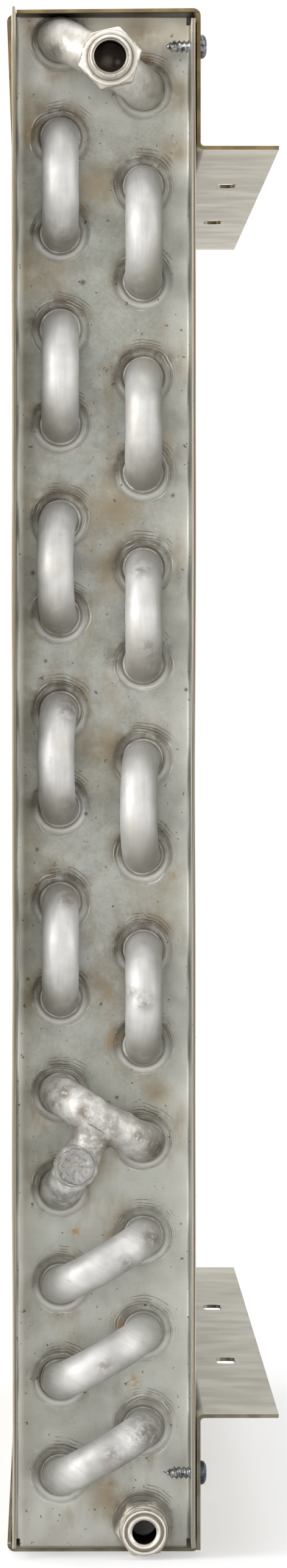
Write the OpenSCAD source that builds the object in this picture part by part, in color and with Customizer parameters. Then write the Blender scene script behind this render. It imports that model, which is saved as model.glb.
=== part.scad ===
// Two-row tube-and-fin condenser in a folded sheet frame.
// X runs across the frame, Y along the tubes and Z up.
// The origin is the middle of the underside, and the connections are at the low end of Y.

/* [Coil] */
// Spacing of the tubes in one column, and the span of a return bend
pitch = 25.4; // [25:0.1:27]
// Distance between the two columns
column_gap = 22; // [21:0.5:24]
// Sideways offset of both columns from the middle of the frame
coil_shift = -0.4; // [-0.8:0.1:0.8]
// Outside diameter of the tubes
tube_d = 9.525; // [9:0.025:9.7]
// Wall of the tubes
tube_wall = 0.8; // [0.6:0.1:1]
// Straight length of a return bend in front of the plate
bend_straight = 5; // [4:0.5:8]

/* [Fins] */
// Fins in each inch of length
fins_per_inch = 10; // [6:1:12]
// Width of a fin, across both columns
fin_w = 44; // [43:0.5:45]
// Thickness of a fin's edge
fin_t = 0.5; // [0.4:0.1:0.8]
// How deep the gaps between the fins are cut from each face
fin_gap_depth = 5; // [3:0.5:5.5]

/* [Sheet frame] */
// Thickness of all the folded sheet
sheet_t = 1; // [0.8:0.1:1.2]
// Distance between the outer faces of the two end plates
coil_len = 480; // [300:10:900]
// Width over the flanges of an end plate
plate_w = 48.2; // [48:0.1:48.4]
// Depth of the flanges of an end plate
plate_flange = 25; // [23:1:30]
// Length of the channels
channel_len = 520; // [340:10:940]
// Width over the legs of a channel
channel_w = 51; // [50.9:0.1:51.4]
// Drop from the top of the frame to its upper mounting flange
top_leg = 37.2; // [30:0.1:45]
// Rise from the underside of the frame to its lower mounting flange
bottom_leg = 37.9; // [30:0.1:45]
// Width of a mounting flange, out from the channel's leg
mount_flange = 20.6; // [18:0.1:30]
// Distance between the two slots of a mounting flange
slot_spacing = 190.5; // [150:0.5:220]
// Length of a slot, end to end
slot_len = 20; // [12:1:25]
// Width of a slot
slot_w = 5.2; // [4:0.1:6]

/* [Fittings] */
// Width of the inlet fitting across its flats
inlet_hex = 15; // [14:0.1:16]
// Diameter of the inlet's threaded nose
inlet_nose_d = 11.4; // [11:0.1:12]
// Bore of the inlet fitting
inlet_bore_d = 8.3; // [7:0.1:9]
// Width of the outlet fitting across its flats
outlet_hex = 13.2; // [13:0.1:14]
// Diameter of the outlet's threaded nose
outlet_nose_d = 12.3; // [12:0.1:12.6]
// Bore of the outlet fitting
outlet_bore_d = 6.4; // [5:0.1:7]

/* [Hidden] */
$fn = 48;
rows = 16;
tube_r = tube_d / 2;
fin_h = rows * pitch;
frame_h = fin_h + 2 * sheet_t;
plate_y = coil_len / 2;
left_x = coil_shift - column_gap / 2;
right_x = coil_shift + column_gap / 2;
// Far larger than the part, for trimming
big = 2000;

// Folds: inner and outer radius, and the length of the left legs behind the end plates
fold_in = 1;
fold_out = fold_in + sheet_t;
left_leg = 35;
top_lean = 2.1;
bottom_lean = 3;
// The upper web reaches further out on its right than on its left
web_reach_right = 20;
web_reach_left = 14;
bottom_web_reach = 4.5;
leg_clear = 0.2;
slot_x = channel_w / 2 + mount_flange / 2 - 0.1;

// Drawn collars: a shallow dished ring with a short neck behind it
dish_r = 7.5;
dish_floor_r = 6.9;
dish_depth = 1.3;
hole_r = 4.95;
neck_r = 5.75;
neck_len = 3;
collar_back = dish_depth + neck_len;

// Tube joints: the tubes end just inside the dish, and each bend plugs into its tube
seat = plate_y - 0.4;
socket_r = 4.4;
socket_len = 6;
plug_r = 4.35;
plug_bore_r = 3.7;
plug_len = 5.6;
bend_y = seat + bend_straight;
crown_y = bend_y + pitch / 2;

// Fin pack
fin_pitch = 25.4 / fins_per_inch;
fin_space = 2 * (plate_y - collar_back - 0.3);
fin_count = floor((fin_space - fin_t) / fin_pitch) + 1;
fin_pack_len = (fin_count - 1) * fin_pitch + fin_t;
fin_bore_r = tube_r + 0.02;

// Connections
braze_gap = 0.02;
inlet_tube_r = 5.4;
inlet_at = [1.6, frame_h - 13.7];
inlet_turn = 13.6;
inlet_hex_len = 7;
inlet_front = plate_y + 35;
inlet_nose_len = 5.5;
outlet_turn = 4.8;
outlet_hex_len = 8;
outlet_front = plate_y + 27;
outlet_nose_len = 7;
stub_len = 16;
three_way_r = 5.1;
elbow_r = 5.15;
elbow_bend_r = 10.8;
neck_tube_r = 4.25;
branch_bore_r = 3.5;
port_r = 4.85;
port_along = 8.2;
port_front = plate_y + 22;
port_bore_r = 4.05;
cap_t = 0.9;

// Screws
screw_y = plate_y + 10;
screw_high = frame_h - 9.4;
screw_low = 21.5;
screw_r = 1.7;
screw_len = 9;
screw_head_r = 3.2;
screw_head_t = 1.8;

// Place of the tube in row n, counted from the top, as [x, z]
function left_tube(n) = [left_x, sheet_t + fin_h - pitch / 4 - (n - 1) * pitch];
function right_tube(n) = [right_x, left_tube(n).y - pitch / 2];

// Puts a piece made along Z between two tubes, with a below b
module between(a, b) {
    translate([(a.x + b.x) / 2, 0, (a.y + b.y) / 2])
        rotate([0, atan2(b.x - a.x, b.y - a.y), 0])
            children();
}

// A cylinder along Y from y0 up to y1, at [x, z]
module rod(at, r, y0, y1) {
    translate([at.x, y0, at.y]) rotate([-90, 0, 0]) cylinder(r = r, h = y1 - y0);
}

// A solid U with its crown towards low Y and its two legs ending at y_end
module u_rod(span, r, y_bend, y_end) {
    translate([0, y_bend, 0]) rotate([0, 90, 180])
        rotate_extrude(angle = 180) translate([span / 2, 0]) circle(r);
    for (s = [-1, 1]) rod([0, s * span / 2], r, y_bend, y_end);
}

// A hairpin: two long legs and a bend at the far end, with sockets at the near end
module hairpin(a, b) {
    span = norm(b - a);
    color("gainsboro") between(a, b) difference() {
        mirror([0, 1, 0]) u_rod(span, tube_r, -bend_y, seat);
        mirror([0, 1, 0]) u_rod(span, tube_r - tube_wall, -bend_y, seat + 1);
        for (s = [-1, 1]) rod([0, s * span / 2], socket_r, -seat - 1, -seat + socket_len);
    }
}

// The outer form of a return bend, trimmed flush with the ends of the tubes
module bend_body(span, r, lean) {
    intersection() {
        translate([0, -seat, 0]) rotate([0, 0, lean]) translate([0, seat, 0])
            u_rod(span, r, -bend_y, -seat + 1);
        translate([-big / 2, -seat - big, -big / 2]) cube(big);
    }
}

// A return bend that may lean to one side, with a plug on each end
module bend(a, b, r = tube_r, lean = 0) {
    span = norm(b - a);
    between(a, b) difference() {
        union() {
            bend_body(span, r, lean);
            for (s = [-1, 1]) rod([0, s * span / 2], plug_r, -seat - 0.5, -seat + plug_len);
        }
        translate([0, -seat, 0]) rotate([0, 0, lean]) translate([0, seat, 0])
            u_rod(span, r - tube_wall, -bend_y, -seat - 1);
        for (s = [-1, 1]) rod([0, s * span / 2], plug_bore_r, -seat - 2, -seat + plug_len + 1);
    }
}

module left_bend(i, lean = 0) {
    color("silver") bend(left_tube(2 * i + 1), left_tube(2 * i), tube_r, lean);
}

module right_bend(i, lean = 0) {
    color("silver") bend(right_tube(2 * i + 1), right_tube(2 * i), tube_r, lean);
}

module slant_bend(i) {
    color("silver") bend(left_tube(13 + i), right_tube(12 + i));
}

// One fold along Y: part of a ring round [cx, cz], from angle a0 to a1
module fold_y(cx, cz, a0, a1, y0, y1) {
    translate([cx, y1, cz]) rotate([90, 0, 0]) rotate([0, 0, a0])
        rotate_extrude(angle = a1 - a0) translate([fold_in, 0]) square([sheet_t, y1 - y0]);
}

// The folded section of a channel, lying on its web with the legs up
module channel_section(leg, lean) {
    half = channel_w / 2;
    y0 = -channel_len / 2;
    translate([-half + fold_out, y0, 0]) cube([channel_w - 2 * fold_out, channel_len, sheet_t]);
    // right leg and mounting flange
    fold_y(half - fold_out, fold_out, -90, 0, y0, -y0);
    translate([half - sheet_t, y0, fold_out]) cube([sheet_t, channel_len, leg - 2 * fold_out]);
    fold_y(half + fold_in, leg - fold_out, 90, 180, y0, -y0);
    translate([half + fold_in, y0, leg - sheet_t])
        cube([mount_flange - fold_in, channel_len, sheet_t]);
    // left leg, leaning in towards the fins
    lean_in = (left_leg - fold_out) * tan(lean);
    mirror([1, 0, 0]) fold_y(half - fold_out, fold_out, -90, 0, y0, -y0);
    translate([0, -y0, 0]) rotate([90, 0, 0]) linear_extrude(channel_len) polygon([
        [-half, fold_out], [-half + sheet_t, fold_out],
        [-half + sheet_t + lean_in, left_leg], [-half + lean_in, left_leg]
    ]);
}

// What is cut from a channel of either kind: slots and screw holes
module channel_holes(leg, screw_z) {
    for (s = [-1, 1]) {
        translate([slot_x, s * slot_spacing / 2, leg - 2 * sheet_t]) {
            for (e = [-1, 1]) translate([0, e * (slot_len - slot_w) / 2, 0])
                cylinder(d = slot_w, h = 3 * sheet_t);
            translate([-slot_w / 2, -(slot_len - slot_w) / 2, 0])
                cube([slot_w, slot_len - slot_w, 3 * sheet_t]);
        }
        translate([channel_w / 2 - 2 * sheet_t, s * screw_y, screw_z])
            rotate([0, 90, 0]) cylinder(r = screw_r + leg_clear, h = 3 * sheet_t);
    }
}

// The outline, seen from above, of what is cut from both ends of the upper web
module web_end_cut() {
    inner = plate_w / 2 - sheet_t - leg_clear;
    cut_y = plate_y - sheet_t - leg_clear;
    polygon([
        [-big, -cut_y], [-inner, -cut_y], [-inner, -plate_y - web_reach_left],
        [channel_w / 2, -plate_y - web_reach_right], [channel_w / 2, -big], [-big, -big]
    ]);
}

module top_channel() {
    color("tan") translate([0, 0, frame_h]) mirror([0, 0, 1]) difference() {
        channel_section(top_leg, top_lean);
        channel_holes(top_leg, frame_h - screw_high);
        for (m = [0, 1]) mirror([0, m, 0]) translate([0, 0, -1])
            linear_extrude(left_leg + 5) web_end_cut();
    }
}

module bottom_channel() {
    color("tan") difference() {
        channel_section(bottom_leg, bottom_lean);
        channel_holes(bottom_leg, screw_low);
        for (m = [0, 1]) mirror([0, m, 0]) {
            translate([-big / 2, -big - plate_y - bottom_web_reach, -1])
                cube([big, big, 1 + fold_out]);
            translate([-big, -big - plate_y + sheet_t + leg_clear, fold_out])
                cube([big, big, left_leg + 5]);
        }
    }
}

// One fold along Z at the edge of an end plate's web, on the right-hand side
module plate_fold(z0, z1) {
    translate([plate_w / 2 - fold_out, -plate_y - fold_in, z0])
        rotate_extrude(angle = 90) translate([fold_in, 0]) square([sheet_t, z1 - z0]);
}

// The flat web of an end plate and its two flanges
module plate_sheet() {
    web_w = plate_w - 2 * fold_out;
    fold_low = sheet_t + fold_out;
    fold_high = frame_h - sheet_t - fold_out;
    translate([-web_w / 2, -plate_y, sheet_t]) cube([web_w, sheet_t, fin_h]);
    for (m = [0, 1]) mirror([m, 0, 0]) {
        plate_fold(fold_low, fold_high);
        translate([plate_w / 2 - sheet_t, -plate_y - plate_flange, fold_low])
            cube([sheet_t, plate_flange - fold_in, fold_high - fold_low]);
    }
    // the left flange stands up through the notch in the upper web
    translate([-plate_w / 2, -plate_y - plate_flange, fold_high - 1])
        cube([sheet_t, plate_flange - fold_out, frame_h - fold_high + 1]);
}

// Calls its children once at each tube, in the frame of the near plate's outer face
module at_tubes() {
    for (n = [1 : rows]) for (p = [left_tube(n), right_tube(n)])
        translate([p.x, -plate_y, p.y]) rotate([-90, 0, 0]) children();
}

module end_plate() {
    color("lightgray") difference() {
        union() {
            plate_sheet();
            intersection() {
                at_tubes() union() {
                    cylinder(r = dish_r + 0.6, h = dish_depth + sheet_t);
                    cylinder(r = neck_r, h = collar_back);
                }
                translate([-plate_w / 2, -plate_y, sheet_t]) cube([plate_w, plate_flange, fin_h]);
            }
        }
        at_tubes() {
            translate([0, 0, -0.01]) cylinder(r1 = dish_r, r2 = dish_floor_r, h = dish_depth + 0.01);
            cylinder(r = hole_r, h = collar_back + 1);
        }
        for (z = [screw_low, screw_high]) translate([plate_w / 2 - 2 * sheet_t, -screw_y, z])
            rotate([0, 90, 0]) cylinder(r = screw_r + 0.05, h = 3 * sheet_t);
    }
}

module near_end_plate() {
    end_plate();
}

module far_end_plate() {
    mirror([0, 1, 0]) end_plate();
}

// The pack seen from above: a comb of fin edges on both sides
module fin_outline() {
    edge = fin_w / 2;
    root = edge - fin_gap_depth;
    function y_of(i) = -fin_pack_len / 2 + i * fin_pitch;
    right_side = [for (i = [0 : fin_count - 1]) each [
        [root, y_of(i)], [edge, y_of(i)], [edge, y_of(i) + fin_t], [root, y_of(i) + fin_t]
    ]];
    left_side = [for (i = [len(right_side) - 1 : -1 : 0]) [-right_side[i].x, right_side[i].y]];
    translate([coil_shift, 0]) polygon(concat(right_side, left_side));
}

module fin_pack() {
    color("lightsteelblue") difference() {
        translate([0, 0, sheet_t]) linear_extrude(fin_h) fin_outline();
        at_tubes() cylinder(r = fin_bore_r, h = coil_len);
    }
}

// A hexagon along Z with its corners turned off at both ends
module hex_body(flats, len) {
    corner = flats / 2 / cos(30);
    bevel = corner - flats / 2;
    wide = corner + 0.2;
    lap = 0.05;
    intersection() {
        cylinder(r = corner, h = len, $fn = 6);
        union() {
            cylinder(r1 = flats / 2 - 0.1, r2 = wide, h = bevel);
            translate([0, 0, bevel - lap]) cylinder(r = wide, h = len - 2 * bevel + 2 * lap);
            translate([0, 0, len - bevel]) cylinder(r1 = wide, r2 = flats / 2 - 0.1, h = bevel);
        }
    }
}

// A round nose along Z with a bevelled front edge
module nose(d, len) {
    cylinder(d = d, h = len - 0.6);
    translate([0, 0, len - 0.6]) cylinder(d1 = d, d2 = d - 1, h = 0.6);
}

// The outer form of the tube that joins the two topmost tubes, as cut from what is brazed to it
module inlet_tube_body() {
    between(right_tube(1), left_tube(1)) bend_body(pitch, inlet_tube_r + braze_gap, 0);
}

module inlet_crossover() {
    color("silver") difference() {
        bend(right_tube(1), left_tube(1), inlet_tube_r);
        rod(inlet_at, inlet_bore_d / 2, -crown_y - 10, -crown_y);
    }
}

module inlet_fitting() {
    body_len = inlet_front - crown_y;
    hex_at = body_len - inlet_nose_len - inlet_hex_len;
    color("wheat") difference() {
        translate([inlet_at.x, -crown_y, inlet_at.y]) rotate([90, 0, 0]) difference() {
            union() {
                cylinder(r = inlet_tube_r - 0.2, h = body_len - inlet_nose_len - 1);
                translate([0, 0, hex_at]) rotate(inlet_turn) hex_body(inlet_hex, inlet_hex_len);
                translate([0, 0, body_len - inlet_nose_len]) nose(inlet_nose_d, inlet_nose_len);
            }
            translate([0, 0, -1]) cylinder(d = inlet_bore_d, h = body_len + 2);
            translate([0, 0, body_len - 0.7])
                cylinder(d1 = inlet_bore_d, d2 = inlet_bore_d + 1.6, h = 0.8);
        }
        inlet_tube_body();
    }
}

// The outer form of the tube across row 12, as cut from the branch that joins it
module three_way_body() {
    between(right_tube(12), left_tube(12)) bend_body(pitch, three_way_r + braze_gap, 0);
}

// Puts a piece made in the branch's own frame, with its Z along the branch, on the tube of row 13
module on_branch() {
    start = left_tube(13);
    aim = (left_tube(12) + right_tube(12)) / 2;
    translate([start.x, 0, start.y]) rotate([0, atan2(aim.x - start.x, aim.y - start.y), 0])
        children();
}

// A quarter bend from the tube of row 13 up to a straight neck
module branch_run(r, neck, y_end) {
    y_turn = -seat - bend_straight;
    neck_y = y_turn - elbow_bend_r;
    reach = norm((left_tube(12) + right_tube(12)) / 2 - left_tube(13));
    rod([0, 0], r, y_turn, y_end);
    translate([0, y_turn, elbow_bend_r]) rotate([0, 90, 180])
        rotate_extrude(angle = 90) translate([elbow_bend_r, 0]) circle(r);
    translate([0, neck_y, elbow_bend_r]) cylinder(r = r, h = 1.5);
    translate([0, neck_y, elbow_bend_r]) cylinder(r = neck, h = reach - elbow_bend_r);
}

module three_way_tube() {
    color("whitesmoke") difference() {
        bend(right_tube(12), left_tube(12), three_way_r);
        on_branch() translate([0, -seat - bend_straight - elbow_bend_r, elbow_bend_r])
            cylinder(r = branch_bore_r, h = pitch / 2 - 1);
    }
}

module branch_elbow() {
    color("whitesmoke") difference() {
        on_branch() difference() {
            union() {
                branch_run(elbow_r, neck_tube_r, -seat);
                rod([0, 0], plug_r, -seat - 0.5, -seat + plug_len);
                rod([0, port_along], port_r, -port_front + cap_t, -bend_y - elbow_bend_r);
            }
            branch_run(elbow_r - tube_wall - 0.2, branch_bore_r, -seat - 1);
            rod([0, 0], plug_bore_r, -seat - 2, -seat + plug_len + 1);
            rod([0, port_along], port_bore_r, -port_front - 1, -bend_y - elbow_bend_r);
        }
        three_way_body();
    }
}

module branch_cap() {
    color("lightgray") on_branch() {
        rod([0, port_along], port_r, -port_front, -port_front + cap_t);
        rod([0, port_along], port_bore_r - 0.05, -port_front + cap_t / 2, -port_front + cap_t + 1);
    }
}

module outlet_stub() {
    at = right_tube(rows);
    color("silver") difference() {
        union() {
            rod(at, tube_r, -seat - stub_len, -seat);
            rod(at, plug_r, -seat - 0.5, -seat + plug_len);
        }
        rod(at, tube_r - tube_wall, -seat - stub_len - 1, -seat - 1);
        rod(at, plug_bore_r, -seat - 2, -seat + plug_len + 1);
    }
}

module outlet_fitting() {
    at = right_tube(rows);
    back = outlet_front - outlet_nose_len - outlet_hex_len;
    full = outlet_front - back;
    socket = seat + stub_len - back;
    color("wheat") translate([at.x, -back, at.y]) rotate([90, 0, 0]) difference() {
        union() {
            rotate(outlet_turn) hex_body(outlet_hex, outlet_hex_len);
            translate([0, 0, outlet_hex_len / 2])
                nose(outlet_nose_d, outlet_nose_len + outlet_hex_len / 2);
        }
        translate([0, 0, -1]) cylinder(r = tube_r + 0.02, h = socket + 1);
        translate([0, 0, -1]) cylinder(d = outlet_bore_d, h = full + 2);
        // dished face round the seat of the bore
        translate([0, 0, full - 1.1]) difference() {
            cylinder(r1 = 4.9, r2 = outlet_nose_d / 2 - 0.7, h = 1.2);
            translate([0, 0, -1]) cylinder(r = 4.3, h = 3);
        }
        translate([0, 0, full - 0.6]) cylinder(d1 = outlet_bore_d, d2 = outlet_bore_d + 1.2, h = 0.7);
    }
}

// A pan-head screw along X, its head outside the channel's leg
module bracket_screw() {
    tip = 1.5;
    rotate([0, -90, 0]) {
        cylinder(r = screw_r, h = screw_len - tip);
        translate([0, 0, screw_len - tip]) cylinder(r1 = screw_r, r2 = 0.5, h = tip);
    }
    rotate([0, 90, 0]) difference() {
        union() {
            cylinder(r = screw_head_r, h = screw_head_t - 0.8);
            translate([0, 0, screw_head_t - 0.8])
                cylinder(r1 = screw_head_r, r2 = screw_head_r - 1.1, h = 0.8);
        }
        for (a = [0, 90]) rotate(a) translate([-1.7, -0.35, screw_head_t - 1.1]) cube([3.4, 0.7, 2]);
    }
}

module bracket_screws() {
    color("slategray") for (y = [-screw_y, screw_y]) for (z = [screw_low, screw_high])
        translate([channel_w / 2, y, z]) bracket_screw();
}

near_end_plate();
far_end_plate();
top_channel();
bottom_channel();
fin_pack();
hairpin(left_tube(2), left_tube(1));  // hairpin_left_1
hairpin(left_tube(4), left_tube(3));  // hairpin_left_2
hairpin(left_tube(6), left_tube(5));  // hairpin_left_3
hairpin(left_tube(8), left_tube(7));  // hairpin_left_4
hairpin(left_tube(10), left_tube(9));  // hairpin_left_5
hairpin(left_tube(12), left_tube(11));  // hairpin_left_6
hairpin(right_tube(2), right_tube(1));  // hairpin_right_1
hairpin(right_tube(4), right_tube(3));  // hairpin_right_2
hairpin(right_tube(6), right_tube(5));  // hairpin_right_3
hairpin(right_tube(8), right_tube(7));  // hairpin_right_4
hairpin(right_tube(10), right_tube(9));  // hairpin_right_5
hairpin(right_tube(12), right_tube(11));  // hairpin_right_6
hairpin(right_tube(13), left_tube(13));  // hairpin_cross_1
hairpin(right_tube(14), left_tube(14));  // hairpin_cross_2
hairpin(right_tube(15), left_tube(15));  // hairpin_cross_3
hairpin(right_tube(16), left_tube(16));  // hairpin_cross_4
left_bend(1);  // bend_left_1
left_bend(2);  // bend_left_2
left_bend(3, lean = -3.2);  // bend_left_3
left_bend(4, lean = -3.2);  // bend_left_4
left_bend(5);  // bend_left_5
right_bend(1);  // bend_right_1
right_bend(2);  // bend_right_2
right_bend(3);  // bend_right_3
right_bend(4, lean = -4.6);  // bend_right_4
right_bend(5);  // bend_right_5
slant_bend(1);  // bend_slant_1
slant_bend(2);  // bend_slant_2
slant_bend(3);  // bend_slant_3
inlet_crossover();
inlet_fitting();
three_way_tube();
branch_elbow();
branch_cap();
outlet_stub();
outlet_fitting();
bracket_screws();
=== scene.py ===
import math

import bmesh
import bpy
from mathutils import Matrix, Vector, noise
from mathutils.geometry import delaunay_2d_cdt


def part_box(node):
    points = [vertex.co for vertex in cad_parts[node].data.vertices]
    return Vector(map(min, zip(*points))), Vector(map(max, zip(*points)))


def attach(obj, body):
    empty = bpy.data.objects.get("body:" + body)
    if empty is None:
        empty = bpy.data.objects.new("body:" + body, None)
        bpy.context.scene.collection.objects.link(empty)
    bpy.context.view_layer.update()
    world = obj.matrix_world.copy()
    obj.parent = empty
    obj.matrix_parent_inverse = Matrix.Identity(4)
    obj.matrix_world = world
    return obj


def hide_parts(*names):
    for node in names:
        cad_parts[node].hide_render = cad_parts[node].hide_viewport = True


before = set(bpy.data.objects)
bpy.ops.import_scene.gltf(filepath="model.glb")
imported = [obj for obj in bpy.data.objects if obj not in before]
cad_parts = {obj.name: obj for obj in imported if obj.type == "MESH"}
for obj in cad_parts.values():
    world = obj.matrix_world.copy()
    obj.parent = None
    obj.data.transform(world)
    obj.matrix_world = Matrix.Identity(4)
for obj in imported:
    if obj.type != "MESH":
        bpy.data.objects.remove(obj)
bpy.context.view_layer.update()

# Sizes are in millimetres, and meshes are scaled to metres when they are made
MM = 0.001


def box_mm(node):
    """The lowest and highest corners of a CAD node, in millimetres."""
    low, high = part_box(node)
    return Vector(low) / MM, Vector(high) / MM


# Driving dimensions, read from the frame where it shows them
plate_low, plate_high = box_mm("near_end_plate")
FRAME_TOP = box_mm("top_channel")[1].z
SHEET = plate_low.z
ROWS = 16
PITCH = (FRAME_TOP - 2 * SHEET) / ROWS
TUBE_R = 9.525 / 2
TUBE_WALL = 0.8
BEND_R = TUBE_R + 0.12
LEFT_X = -11.4
RIGHT_X = 10.6
TOP_ROW_Z = FRAME_TOP - SHEET - PITCH / 4
PLATE_HALF = plate_high.x
FLANGE_Y = plate_low.y
PLATE_Y = -240
SEAT_Y = -239.6
BEND_Y = SEAT_Y - 5
INLET_AXIS = (1.6, FRAME_TOP - 13.7)


def left_tube(row):
    """Centre of a tube of the left column as (x, z)."""
    return LEFT_X, TOP_ROW_Z - (row - 1) * PITCH


def right_tube(row):
    """Centre of a tube of the right column as (x, z)."""
    return RIGHT_X, TOP_ROW_Z - PITCH / 2 - (row - 1) * PITCH


TUBES = [left_tube(row) for row in range(1, ROWS + 1)]
TUBES += [right_tube(row) for row in range(1, ROWS + 1)]
OUTLET_AXIS = right_tube(ROWS)

JOINT_ROW = 12
THREE_WAY_R = 5.1
PORT_ALONG = 8.2


def branch_direction():
    """The branch's start, its direction towards the crossover's middle, and how far that is."""
    x, z = left_tube(JOINT_ROW + 1)
    start = Vector((x, 0, z))
    a, b = left_tube(JOINT_ROW), right_tube(JOINT_ROW)
    aim = Vector(((a[0] + b[0]) / 2, 0, (a[1] + b[1]) / 2))
    return start, (aim - start).normalized(), (aim - start).length


BRANCH_START, BRANCH_ALONG, BRANCH_REACH = branch_direction()
PORT_AT = BRANCH_START + BRANCH_ALONG * PORT_ALONG
PORT_AXIS = (PORT_AT.x, PORT_AT.z)
CAP_Y = box_mm("branch_cap")[0].y

# Camera: level with the upper half of the coil, a little to the left of it
CAMERA_AT = Vector((-14.5, -2400, 236.4)) * MM
CAMERA_AIM = Vector((10.7, -240, 203.9)) * MM
CAMERA_LENS = 186.5
SENSOR_HEIGHT = 36


def new_object(name, data):
    """Adds an object to the scene."""
    thing = bpy.data.objects.new(name, data)
    bpy.context.scene.collection.objects.link(thing)
    return thing


def point_at(thing, place, aim):
    """Puts a camera or lamp at a place, aimed at another."""
    thing.location = place
    thing.rotation_euler = (aim - place).to_track_quat("-Z", "Y").to_euler()


def make_camera():
    """The photograph's viewpoint, looking along the tubes."""
    data = bpy.data.cameras.new("camera")
    data.sensor_fit = "VERTICAL"
    data.sensor_height = SENSOR_HEIGHT
    data.lens = CAMERA_LENS
    data.clip_end = 100
    camera = new_object("camera", data)
    point_at(camera, CAMERA_AT, CAMERA_AIM)
    bpy.context.scene.camera = camera


class Graph:
    """A node tree, with short calls for the nodes used here."""

    def __init__(self, tree):
        self.tree = tree
        tree.nodes.clear()

    def add(self, kind, inputs=None, **settings):
        """A new node. inputs holds a value or another node's output for each socket."""
        node = self.tree.nodes.new(kind)
        for key, value in settings.items():
            setattr(node, key, value)
        for key, value in (inputs or {}).items():
            self.set(node.inputs[key], value)
        return node

    def set(self, socket, value):
        """Links a node's output to a socket, or sets a fixed value."""
        if isinstance(value, bpy.types.NodeSocket):
            self.tree.links.new(value, socket)
        else:
            socket.default_value = (*value, 1) if socket.type == "RGBA" else value

    def math(self, operation, a, b=0):
        return self.add("ShaderNodeMath", {0: a, 1: b}, operation=operation).outputs[0]

    def plus(self, a, b):
        return self.math("ADD", a, b)

    def minus(self, a, b):
        return self.math("SUBTRACT", a, b)

    def times(self, a, *others):
        for b in others:
            a = self.math("MULTIPLY", a, b)
        return a

    def most(self, a, *others):
        for b in others:
            a = self.math("MAXIMUM", a, b)
        return a

    def amount(self, a):
        """A value without its sign."""
        return self.math("ABSOLUTE", a)

    def distance(self, a, b):
        """The length of two offsets at right angles."""
        return self.math("SQRT", self.plus(self.times(a, a), self.times(b, b)))

    def split(self, vector):
        return self.add("ShaderNodeSeparateXYZ", {0: vector}).outputs[:3]

    def step(self, value, low, high, out_low=0, out_high=1):
        """A smooth ramp from out_low to out_high as value goes from low to high."""
        inputs = {"Value": value, "From Min": low, "From Max": high, "To Min": out_low, "To Max": out_high}
        return self.add("ShaderNodeMapRange", inputs, interpolation_type="SMOOTHSTEP").outputs[0]

    def band(self, value, middle, half):
        """One at middle, falling to zero at half on either side."""
        return self.step(self.amount(self.minus(value, middle)), half, 0)

    def mix(self, factor, a, b):
        return self.add("ShaderNodeMix", {0: factor, 6: a, 7: b}, data_type="RGBA").outputs[2]

    def seen_directly(self):
        """One for what the camera sees, also in a mirror or through glass, and zero for light."""
        rays = self.add("ShaderNodeLightPath").outputs
        return self.most(rays["Is Camera Ray"], rays["Is Glossy Ray"], rays["Is Transmission Ray"])


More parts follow.
